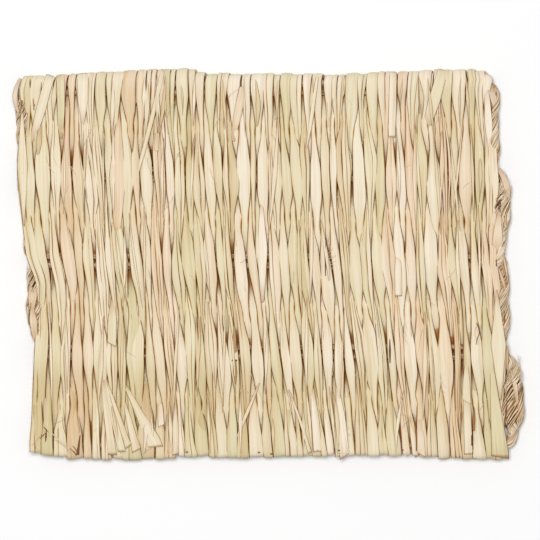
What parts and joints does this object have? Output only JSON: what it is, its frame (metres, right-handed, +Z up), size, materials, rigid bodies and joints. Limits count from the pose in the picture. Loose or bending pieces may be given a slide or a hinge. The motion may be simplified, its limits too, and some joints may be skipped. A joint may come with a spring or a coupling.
{
  "type": "woven grass pet mat",
  "caption": "Flat rectangular pet mat of dried grass stalks woven over and under hidden twisted grass rope, which shows in turns at both sides.",
  "frame": {"origin": "on the surface that the mat lies on, under the middle of the mat's bounding box", "axes": "+X along the hidden rope rows, +Y along the stalks towards the folded edge, +Z up from the surface"},
  "size_m": [0.2874, 0.2218, 0.01],
  "materials": {
    "dried_grass": "dried, flattened grass stalks, matt with a faint sheen, cream to straw with greenish and pinkish stalks",
    "twisted_grass_rope": "coarse twisted grass fibre, matt tan"
  },
  "bodies": {
    "root": {"woven_grass_panel": "dried_grass", "grass_rope": "twisted_grass_rope"}
  },
  "joints": []
}
